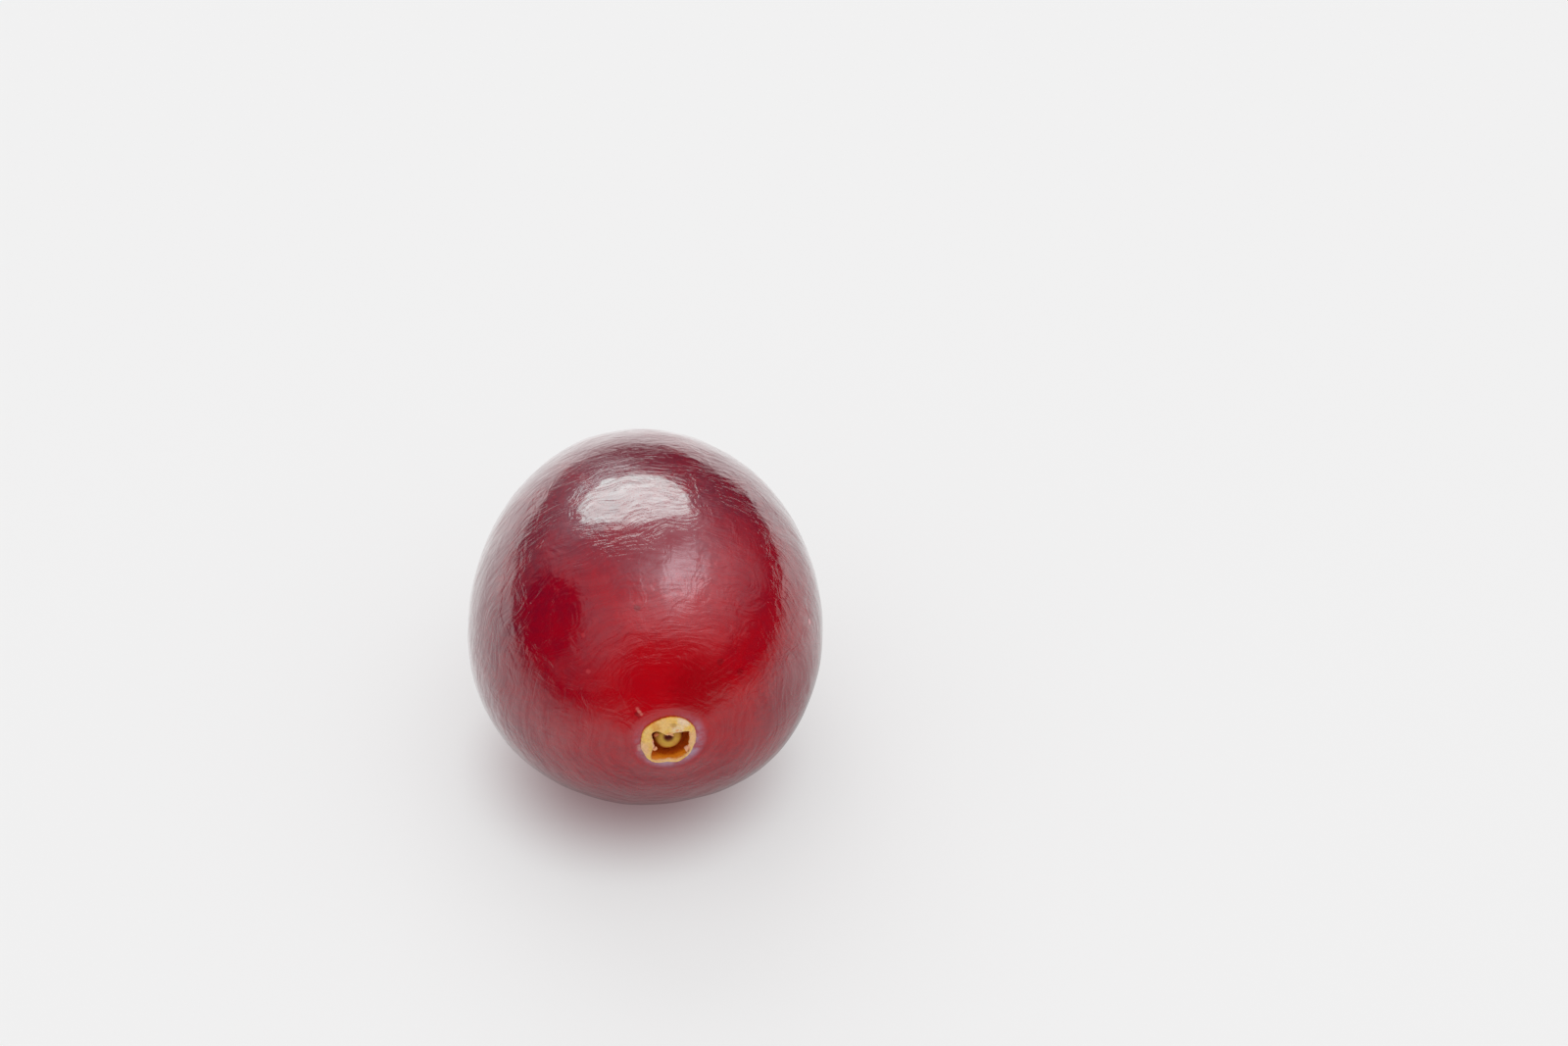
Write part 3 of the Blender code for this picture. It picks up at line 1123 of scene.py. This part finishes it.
@dataclass
class Calyx:
    """The dry cup at the blossom end: four sepals over it, the disc in it, and torn tips.

    The rim and the mouth are pairs of degrees and millimetres round the cup, where 90 degrees is
    upwards. A wrinkle is its depth, size and seed, and a tip is its middle and its half sizes,
    also in millimetres. The other roughness is a strength, a size in metres and a seed.
    """

    rim: Profile = (
        (0, 1.35), (28, 1.38), (50, 1.37), (70, 1.34), (90, 1.31), (108, 1.28), (125, 1.29),
        (140, 1.35), (154, 1.39), (168, 1.36), (182, 1.38), (192, 1.43), (206, 1.46), (220, 1.51),
        (234, 1.55), (248, 1.46), (266, 1.36), (278, 1.42), (290, 1.46), (301, 1.40), (316, 1.38),
        (336, 1.33),
    )  # fmt: skip
    mouth: Profile = (
        (0, 1.00), (12, 1.03), (20, 1.09), (25, 1.03), (30, 0.86), (36, 0.70), (46, 0.55),
        (57, 0.43), (66, 0.29), (78, 0.27), (90, 0.35), (104, 0.30), (116, 0.36), (123, 0.48),
        (128, 0.68), (135, 0.88), (146, 0.97), (156, 0.92), (172, 0.80), (195, 0.80), (208, 0.90),
        (217, 1.10), (224, 1.30), (232, 1.42), (238, 1.40), (248, 1.28), (259, 1.23), (267, 1.15),
        (276, 1.22), (284, 1.31), (296, 1.29), (310, 1.28), (323, 1.24), (333, 1.08), (345, 0.98),
    )  # fmt: skip
    section: tuple[Ring, ...] = (
        *rings(
            Edge.ROUND, (0, 0.0, -0.94), (0, 0.9, -0.94), (0, 1.06, -0.86), (0, 1.16, -0.5),
            (0, 1.19, -0.18), (0, 1.21, -0.12),
        ),
        # Rings round the rim; a fourth number is the ring's share of the painted edge highlight.
        *rings(
            Edge.RIM, (0.0, -0.02, -0.10), (0.0, 0.005, -0.05), (0.0, 0.0, 0.02),
            (0.0, -0.012, 0.085), (0.0, -0.045, 0.135), (0.0, -0.10, 0.165), (0.25, -0.02, 0.19),
            (0.42, 0.0, 0.2), (0.58, 0.0, 0.2), (0.74, 0.0, 0.19), (0.9, 0.03, 0.175, 0.25),
            (1.0, 0.045, 0.155, 0.7), (1.0, 0.018, 0.13, 1.0), (1.0, 0.0, 0.10, 1.0),
            (1.0, 0.006, 0.07, 0.8), (1.0, 0.03, 0.045, 0.35),
        ),
        *rings(
            Edge.WALL, (0.0, 0.0, 0.01), (0.06, 0.0, -0.06), (0.14, 0.0, -0.13),
            (0.24, 0.0, -0.21), (0.36, 0.0, -0.3), (0.50, 0.0, -0.4), (0.68, 0.0, -0.49),
            (0.88, 0.0, -0.56),
        ),
        *rings(Edge.ROUND, (0, 0.80, -0.61), (0, 0.5, -0.64), (0, 0.0, -0.65)),
    )  # fmt: skip
    rim_even: float = 1.40
    mouth_even: float = 1.0
    wall_top: Span = (1.06, 1.15)
    wall_inset: float = 0.03
    wall_foot: float = 0.92
    torn: float = 0.022
    torn_size: float = 0.06
    wrinkles: tuple[tuple[float, float, float], ...] = (
        (0.050, 0.55, 2.0),
        (0.020, 0.2, 7.0),
        (0.012, 0.085, 8.0),
    )
    folds: Span = (0.012, 0.045)
    fold_size: float = 0.16
    sepal_thickness: float = 0.15 * MM
    fold_depth: float = 0.3 * MM
    fold_within: float = 1.16 * MM
    steps: int = 240
    disc: Profile = (
        (0.0, -0.26), (0.05, -0.255), (0.09, -0.235), (0.125, -0.20), (0.155, -0.16),
        (0.19, -0.13), (0.24, -0.112), (0.31, -0.108), (0.40, -0.118), (0.48, -0.142),
        (0.56, -0.185), (0.63, -0.25), (0.69, -0.34), (0.72, -0.46), (0.73, -0.655),
        (0.4, -0.66), (0.0, -0.66),
    )  # fmt: skip
    disc_steps: int = 96
    disc_down: Span = (0.05, 0.11)
    disc_uneven: tuple[float, float, float] = (0.05, 0.5 * MM, 4.0)
    disc_bumps: tuple[float, float, float] = (0.014 * MM, 0.2 * MM, 6.0)
    tips: tuple[tuple[Place, Place], ...] = (
        ((-0.63, 0.33, 0.05), (0.12, 0.10, 0.09)),
        ((-0.72, -0.49, 0.07), (0.13, 0.10, 0.09)),
        ((-0.80, -0.28, 0.11), (0.06, 0.15, 0.05)),
        ((0.86, -0.70, 0.03), (0.11, 0.17, 0.10)),
        ((0.98, -0.56, 0.07), (0.08, 0.14, 0.07)),
        ((0.16, 0.31, 0.13), (0.055, 0.075, 0.05)),
        ((0.07, 0.42, 0.20), (0.07, 0.05, 0.045)),
        ((-0.07, 0.41, 0.21), (0.06, 0.04, 0.035)),
        ((0.20, 0.22, 0.07), (0.05, 0.055, 0.05)),
        ((1.02, 0.24, 0.07), (0.045, 0.06, 0.05)),
        ((0.42, 0.60, 0.18), (0.10, 0.055, 0.045)),
        ((0.60, 0.58, 0.17), (0.08, 0.045, 0.04)),
        ((-0.82, -0.02, 0.12), (0.045, 0.10, 0.045)),
    )
    tip_curl: tuple[float, float, float] = (0.5, 0.09 * MM, 13.0)
    tip_grain: tuple[float, float, float] = (0.15, 0.035 * MM, 5.0)

    def around(self, table: Profile, angle: np.ndarray) -> np.ndarray:
        """Reads a table round the cup, a little softened, with a torn edge.

        Args:
            table: Pairs of degrees and millimetres.
            angle: The directions that it is read in.

        Returns:
            The radius in each direction, in millimetres.
        """
        degrees = np.degrees(angle)
        places, values = zip(*table)
        soft = sum(
            share * np.interp(degrees + turn, places, values, period=360)
            for turn, share in ((-3, 0.25), (0, 0.5), (3, 0.25))
        )
        torn = [rough((math.cos(a), math.sin(a), len(table)), self.torn_size, 9.0) for a in angle]
        return soft + self.torn * np.array(torn)

    def ring_radius(self, ring: Ring, rim: np.ndarray, mouth: np.ndarray) -> np.ndarray:
        """Radius of one ring of the section round the cup, in millimetres.

        Args:
            ring: The ring.
            rim: The rim's radius in each direction.
            mouth: The mouth's radius in each direction.

        Returns:
            The ring's radius in each direction.
        """
        if ring.edge is Edge.ROUND:
            return np.full_like(rim, ring.offset)
        if ring.edge is Edge.RIM:
            return rim * (1 - ring.inward) + mouth * ring.inward + ring.offset
        narrow, wide = self.wall_top
        top = np.maximum(mouth + self.wall_inset, narrow)
        if ring.height < 0:
            top = np.minimum(top, wide)
        return top * (1 - ring.inward) + self.wall_foot * ring.inward

    def wrinkled(self, angle: float, radius: float, height: float) -> tuple[float, float]:
        """Wrinkles one point of the cup.

        Args:
            angle: Its direction round the axis.
            radius: Its distance from the axis.
            height: Its height on the upright fruit.

        Returns:
            The new radius and height.
        """
        ray = Vector((math.cos(angle), math.sin(angle), 0))
        above = float(np.clip((height - APEX) / self.sepal_thickness, 0.0, 1.0))
        deep = float(np.clip((APEX - height) / self.fold_depth, 0.0, 1.0))
        deep *= radius < self.fold_within
        place = ray * radius / MM
        height += above * MM * sum(part * rough(place, *rest) for part, *rest in self.wrinkles)
        fold = rough((ray.x, ray.y, height / MM * 0.3), self.fold_size, 3.0)
        sepal, wall = self.folds
        return radius + (sepal * above + wall * deep) * MM * fold, height

    def build_cup(self, finish: bpy.types.Material) -> bpy.types.Object:
        """Spins the section, then draws each ring in and out to the shape of the sepals.

        Args:
            finish: The material.

        Returns:
            The finished cup.
        """
        even = np.full(1, self.rim_even), np.full(1, self.mouth_even)
        nominal = [
            (float(self.ring_radius(ring, *even)[0]) * MM, APEX + ring.height * MM)
            for ring in self.section
        ]
        cup = spun("calyx_cup", nominal, self.steps)
        points = points_of(cup)
        radius, angle = radius_and_angle(points)
        away = np.stack((radius, points[:, 2]), axis=1)[:, None] - np.array(nominal)[None]
        which = np.argmin((away**2).sum(axis=2), axis=1)
        rim, mouth = self.around(self.rim, angle), self.around(self.mouth, angle)
        edge_highlight = np.zeros(len(points))
        for number, ring in enumerate(self.section):
            own = which == number
            radius[own] = self.ring_radius(ring, rim[own], mouth[own]) * MM
            edge_highlight[own] = ring.edge_highlight
        for index, point in enumerate(points):
            radius[index], point[2] = self.wrinkled(angle[index], radius[index], point[2])
        points[:, 0] = radius * np.cos(angle)
        points[:, 1] = radius * np.sin(angle)
        put_points(cup, points)
        # Stores each point's share of the painted edge highlight.
        pale = cup.data.attributes.new("edge_highlight", "FLOAT", "POINT")
        pale.data.foreach_set("value", edge_highlight)
        lay_down(cup)
        return finish_piece(cup, finish, replaces=("calyx",), smooth=70.0)

    def build_disc(self, finish: bpy.types.Material) -> bpy.types.Object:
        """Spins the nectary disc with the style's scar sunk in its middle.

        Args:
            finish: The material.

        Returns:
            The finished disc.
        """
        profile = [(radius * MM, APEX + height * MM) for radius, height in self.disc]
        disc = spun("nectary_disc", profile, self.disc_steps)
        points = points_of(disc)
        middle_down, edge_down = self.disc_down
        uneven, *uneven_noise = self.disc_uneven
        bumps, *bumps_noise = self.disc_bumps
        for point in points:
            point[:2] *= 1 + uneven * rough(point, *uneven_noise)
            point[2] += bumps * rough(point, *bumps_noise)
            outward = smooth_step(math.hypot(point[0], point[1]) / (0.3 * MM) - 0.5)
            point[1] -= MM * (middle_down + edge_down * outward)
        put_points(disc, points)
        lay_down(disc)
        return finish_piece(disc, finish)

    def build_tips(self, finish: bpy.types.Material) -> bpy.types.Object:
        """Puts the torn, curled tips of the sepals and small crumbs at the mouth's edge.

        Args:
            finish: The material.

        Returns:
            One object that holds them all.
        """
        made = []
        curl, curl_size, curl_seed = self.tip_curl
        grain, *grain_noise = self.tip_grain
        for number, ((x, y, above), size) in enumerate(self.tips):
            middle = Vector((x, y, APEX / MM + above)) * MM
            clear_selection()
            bpy.ops.mesh.primitive_ico_sphere_add(
                subdivisions=3, radius=1.0, location=middle, scale=[part * MM for part in size]
            )
            tip = bpy.context.object
            bpy.ops.object.transform_apply(location=True, rotation=True, scale=True)
            points = points_of(tip)
            for index, point in enumerate(points):
                swell = 1 + curl * rough(point, curl_size, curl_seed + number)
                swell += grain * rough(point, *grain_noise)
                points[index] = np.array(middle) + (point - np.array(middle)) * swell
            put_points(tip, points)
            made.append(tip)
        clear_selection()
        for tip in made:
            tip.select_set(True)
        bpy.context.view_layer.objects.active = made[0]
        bpy.ops.object.join()
        joined = bpy.context.object
        joined.name = joined.data.name = "sepal_tips"
        lay_down(joined)
        return finish_piece(joined, finish)


@dataclass
class StemScar:
    """The round corky scar in the dimple where the stalk broke off.

    The profile is in millimetres, and its heights are measured from the dimple's floor. Each
    roughness is a strength, a size and a seed.
    """

    profile: Profile = (
        (0.0, 0.10), (0.12, 0.085), (0.18, 0.03), (0.26, 0.0), (0.36, -0.03), (0.48, -0.09),
        (0.56, -0.12), (0.60, -0.08), (0.63, 0.02), (0.62, 0.10), (0.50, 0.2), (0.0, 0.2),
    )  # fmt: skip
    steps: int = 72
    bumps: tuple[float, float, float] = (0.03 * MM, 0.2 * MM, 31.0)
    uneven: tuple[float, float, float] = (0.06, 0.35 * MM, 33.0)

    def build(self, fruit: Fruit, finish: bpy.types.Material) -> bpy.types.Object:
        """Spins the scar and roughens it.

        Args:
            fruit: The fruit that it sits in.
            finish: The material.

        Returns:
            The finished scar.
        """
        bottom = -fruit.length / 2 + fruit.dimple[0]
        profile = [(radius * MM, bottom + height * MM) for radius, height in self.profile]
        scar = spun("stem_scar", profile, self.steps)
        points = points_of(scar)
        bumps, *bumps_noise = self.bumps
        uneven, *uneven_noise = self.uneven
        for point in points:
            point[2] += bumps * rough(point, *bumps_noise)
            point[:2] *= 1 + uneven * rough(point, *uneven_noise)
        put_points(scar, points)
        lay_down(scar)
        return finish_piece(scar, finish)


# The studio


@dataclass
class Camera:
    """The camera, at the photograph's viewing angle, with pixels of a 1600 x 1067 image."""

    azimuth: float = math.radians(7.94)
    elevation: float = math.radians(41.78)
    distance: float = 222 * MM
    focal: float = 100.0
    sensor: float = 36.0
    image: tuple[float, float] = (1600.0, 1067.0)
    middle_at: tuple[float, float] = (657.92, 622.19)
    clip: Span = (0.005, 20.0)

    def axes(self) -> tuple[Vector, Vector, Vector]:
        """Works out which way the camera looks.

        Returns:
            The directions to the right, up and back towards the camera.
        """
        sin_a, cos_a = math.sin(self.azimuth), math.cos(self.azimuth)
        sin_e, cos_e = math.sin(self.elevation), math.cos(self.elevation)
        return (
            Vector((cos_a, -sin_a, 0)),
            Vector((sin_a * sin_e, cos_a * sin_e, cos_e)),
            Vector((-sin_a * cos_e, -cos_a * cos_e, sin_e)),
        )

    def build(self) -> bpy.types.Object:
        """Adds the camera so that the fruit's middle falls on its pixel.

        Returns:
            The camera.
        """
        right, up, back = self.axes()
        pixels = self.focal / self.sensor * self.image[0]
        across = (self.middle_at[0] - self.image[0] / 2) / pixels * self.distance
        above = (self.image[1] / 2 - self.middle_at[1]) / pixels * self.distance
        place = AXIS_CENTRE - across * right - above * up + self.distance * back
        data = bpy.data.cameras.new("camera")
        data.lens, data.sensor_width = self.focal, self.sensor
        data.clip_start, data.clip_end = self.clip
        camera = new_object("camera", data)
        turn = Matrix((right, up, back)).transposed().to_4x4()
        camera.matrix_world = Matrix.Translation(place) @ turn
        bpy.context.scene.camera = camera
        return camera


def direction(azimuth: float, elevation: float) -> Vector:
    """The unit vector to a place in degrees: azimuth 0 is away from the camera, 90 right."""
    a, e = math.radians(azimuth), math.radians(elevation)
    return Vector((math.sin(a) * math.cos(e), math.cos(a) * math.cos(e), math.sin(e)))


@dataclass(frozen=True)
class SoftBox:
    """An oval light that faces the fruit, with its reflections and its lighting set apart.

    Its place, size and spin are in degrees as seen from the fruit. The sheen is how bright its
    face is in reflections and the fill how bright it is for matt surfaces, where a white floor in
    full light is about 1. The tint is its colour in reflections.
    """

    name: str
    azimuth: float
    elevation: float
    wide: float
    high: float
    sheen: float
    fill: float
    spin: float = 0.0
    tint: Colour = WHITE
    reach: float = 1.2

    def across(self, size: float) -> float:
        """The width in metres of something that is so many degrees wide at the box's reach."""
        return 2 * self.reach * math.tan(math.radians(size / 2))

    def build(self) -> None:
        """Adds a light that only reflections see and one that only matt surfaces see."""
        towards = direction(self.azimuth, self.elevation)
        facing = towards.to_track_quat("Z", "Y").to_matrix().to_4x4()
        turn = Matrix.Rotation(math.radians(self.spin), 4, "Z")
        for use, radiance in (("sheen", self.sheen), ("fill", self.fill)):
            if radiance == 0.0:
                continue
            data = bpy.data.lights.new(f"{self.name}_{use}", "AREA")
            data.shape = "ELLIPSE"
            data.color = self.tint if use == "sheen" else WHITE
            data.size, data.size_y = self.across(self.wide), self.across(self.high)
            data.energy = radiance * math.pi * math.pi * data.size * data.size_y / 4
            light = new_object(data.name, data)
            place = Matrix.Translation(AXIS_CENTRE + towards * self.reach)
            light.matrix_world = place @ facing @ turn
            light.visible_camera = False
            light.visible_diffuse = use == "fill"
            light.visible_glossy = use == "sheen"


@dataclass(frozen=True)
class Shade:
    """A soft oval patch of the tent, dimmer or brighter in reflections.

    Its place and size are in degrees as seen from the fruit.
    """

    azimuth: float
    elevation: float
    wide: float
    high: float
    gain: float
    soft: float = 0.2

    def mask(self, sketch: NodeSketch, towards: Socket) -> Socket:
        """Adds the patch's mask.

        Args:
            sketch: The world's sketch.
            towards: The direction that a ray looks in.

        Returns:
            A mask of 1 in the patch and 0 outside it.
        """
        middle = direction(self.azimuth, self.elevation)
        across = direction(self.azimuth + 90, 0) / math.sin(math.radians(self.wide / 2))
        above = direction(self.azimuth, self.elevation + 90)
        above /= math.sin(math.radians(self.high / 2))
        x, y, front = (
            sketch.vector("DOT_PRODUCT", towards, axis).outputs["Value"]
            for axis in (across, above, middle)
        )
        edge = (1 - self.soft, 1 + self.soft)
        inside = sketch.spread(sketch.hypotenuse(x, y), edge, FALLING)
        return sketch.math("MULTIPLY", inside, sketch.math("GREATER_THAN", front, 0.0))


@dataclass
class Studio:
    """A pale floor, a soft box behind the fruit, a weaker one beside it, and a tent all round.

    The floor dims in reflections beside and before the fruit and close to it, and brightens a
    little far behind it. It gives off a little light of its own, pale around the fruit and
    weaker and pink below it: a painted contact shadow with the fruit's red light bounced into it.
    """

    tent_fill: float = 1.42
    mirror_tint: Colour = (1.02, 0.985, 1.07)
    backdrop: Colour = (0.87, 0.87, 0.87)
    ramp: Profile = (
        (0.0, 0.14), (0.15, 0.15), (0.30, 0.30), (0.52, 0.48), (0.80, 0.66), (0.92, 0.85),
        (1.0, 1.3),
    )  # fmt: skip
    shades: tuple[Shade, ...] = (
        Shade(-90, 19, 52, 42, 0.0),
        Shade(179, 14, 58, 46, 0.1, 0.35),
        Shade(104, 3, 118, 32, 0.2, 0.4),
        Shade(36, 16, 60, 46, 0.45, 0.3),
        Shade(-18, 9, 30, 28, 1.7, 0.4),
        Shade(-82, 64, 56, 52, 0.6, 0.5),
        Shade(-1, 39, 64, 42, 2.6, 0.4),
        Shade(108, 67, 42, 20, 2.4, 0.5),
        Shade(112, 63, 84, 46, 1.7, 0.6),
    )
    lights: tuple[SoftBox, ...] = (
        SoftBox("soft_box", -3.5, 40.5, 51, 34, 4.5, 1.8, spin=-8, tint=(0.72, 1.0, 0.96)),
        SoftBox("side_light", 104, 66, 42, 17, 0.0, 0.4),
    )
    floor_size: float = 6.0
    paper: float = 0.40
    dims_over: Span = (120 * MM, 34 * MM)
    dims_from: float = 0.5
    far_over: Span = (14 * MM, 55 * MM)
    far_gain: Span = (0.0, 0.2)
    close_at: Place = (6 * MM, -11 * MM, 0.0)
    close_over: Span = (9 * MM, 25 * MM)
    close_gain: Span = (-0.42, 0.0)
    # Painted contact shadow: near the fruit the floor's own light is weaker and pink, with the
    # fruit's red light bounced into it.
    shadow_at: Place = (-1 * MM, -2 * MM, 0.0)
    shadow_over: Span = (2.5 * MM, 9.5 * MM)
    shadow_pink: Colour = (0.175, 0.102, 0.110)
    lift: Colour = (0.472, 0.470, 0.471)

    def floor_level(self, sketch: NodeSketch, where: Socket) -> Socket:
        """Works out how bright the floor is in reflections, where 1 is as the camera sees it.

        Args:
            sketch: The floor's sketch.
            where: The place on the floor.

        Returns:
            The level.
        """
        x, y, _ = sketch.parts(where)
        beside = sketch.math("DIVIDE", sketch.math("ABSOLUTE", x), self.dims_over[0])
        before = sketch.math("DIVIDE", y, self.dims_over[1])
        fall = sketch.math("SUBTRACT", sketch.math("SUBTRACT", beside, before), self.dims_from)
        fall = sketch.math("MULTIPLY", sketch.math("MAXIMUM", fall, 0.0), -1.0)
        mirrored = sketch.node("ShaderNodeLightPath").outputs["Is Glossy Ray"]
        keep = sketch.math("EXPONENT", sketch.math("MULTIPLY", fall, mirrored))
        far = sketch.math("MULTIPLY", sketch.spread(y, self.far_over, self.far_gain), mirrored)
        away = sketch.distance(where, self.close_at)
        close = sketch.spread(away, self.close_over, self.close_gain)
        close = sketch.math("MULTIPLY", close, mirrored)
        gain = sketch.math("ADD", sketch.math("ADD", far, close), 1.0)
        return sketch.math("MULTIPLY", keep, gain)

    def floor(self) -> bpy.types.Object:
        """Adds the wide pale floor.

        Returns:
            The floor.
        """
        clear_selection()
        bpy.ops.mesh.primitive_plane_add(size=self.floor_size, location=(0, 0, 0))
        floor = bpy.context.object
        floor.name = floor.data.name = "floor"
        paper, sketch, shader = new_material("white_paper")
        where = sketch.node("ShaderNodeTexCoord").outputs["Object"]
        keep = self.floor_level(sketch, where)
        # Painted contact shadow under the fruit, pink from the fruit's bounced light.
        outside_shadow = sketch.spread(sketch.distance(where, self.shadow_at), self.shadow_over)
        inputs = {
            "Base Color": sketch.grey(sketch.math("MULTIPLY", keep, self.paper)),
            "Roughness": 1.0,
            "Specular IOR Level": 0.0,
            "Emission Color": sketch.blend(outside_shadow, self.shadow_pink, self.lift),
            "Emission Strength": keep,
        }
        sketch.feed(shader, inputs)
        floor.data.materials.append(paper)
        return floor

    def tent(self) -> None:
        """Sets the soft light all round: brighter overhead, dim near the horizon."""
        world = bpy.data.worlds.new("soft_tent")
        bpy.context.scene.world = world
        world.use_nodes = True
        world.node_tree.nodes.clear()
        sketch = NodeSketch(world.node_tree)
        where = sketch.node("ShaderNodeTexCoord").outputs["Generated"]
        ramp = sketch.node("ShaderNodeValToRGB", inputs={"Fac": sketch.parts(where)[2]})
        while len(ramp.color_ramp.elements) < len(self.ramp):
            ramp.color_ramp.elements.new(0.5)
        for element, (at, level) in zip(ramp.color_ramp.elements, self.ramp):
            element.position = at
            element.color = (level, level, level, 1)
        path = sketch.node("ShaderNodeLightPath").outputs
        mirrored = path["Is Glossy Ray"]
        gain = 1.0
        for shade in self.shades:
            mask = sketch.math("MULTIPLY", shade.mask(sketch, where), mirrored)
            patch = sketch.math("MULTIPLY_ADD", mask, shade.gain - 1, 1.0)
            gain = sketch.math("MULTIPLY", gain, patch)
        colour = sketch.blend(mirrored, ramp.outputs["Color"], self.mirror_tint, "MULTIPLY")
        inputs = {
            "Color": sketch.blend(path["Is Camera Ray"], colour, self.backdrop),
            "Strength": sketch.math(
                "MULTIPLY_ADD", path["Is Diffuse Ray"], self.tent_fill - 1, gain
            ),
        }
        back = sketch.node("ShaderNodeBackground", inputs=inputs)
        sketch.node("ShaderNodeOutputWorld", inputs={"Surface": back.outputs[0]})

    def build(self) -> None:
        """Builds the floor, the tent and the lights."""
        self.floor()
        self.tent()
        for light in self.lights:
            light.build()


def main() -> None:
    """Builds the cranberry in order, dresses it and lights it."""
    logging.basicConfig(level=logging.INFO, format="%(name)s: %(message)s")
    bpy.context.scene.view_settings.view_transform = "Standard"
    shared = SharedEffects()
    skin = CrimsonSkin().make(shared)
    dry = DryCalyx().make(shared)
    torn = DryCalyx(
        name="torn_tips",
        tan=(0.97, 0.50, 0.32),
        straw=(0.92, 0.44, 0.20),
        patches=((-0.63, 0.33, 0.3, (0.55, 0.13, 0.03)),),
    ).make(shared)
    nectary = NectaryFlesh().make(shared)
    cork = CorkyScar().make(shared)

    fruit = Fruit()
    fruit.build(skin)
    calyx = Calyx()
    calyx.build_cup(dry)
    calyx.build_disc(nectary)
    calyx.build_tips(torn)
    StemScar().build(fruit, cork)

    Camera().build()
    Studio().build()


if __name__ == "__main__":
    main()
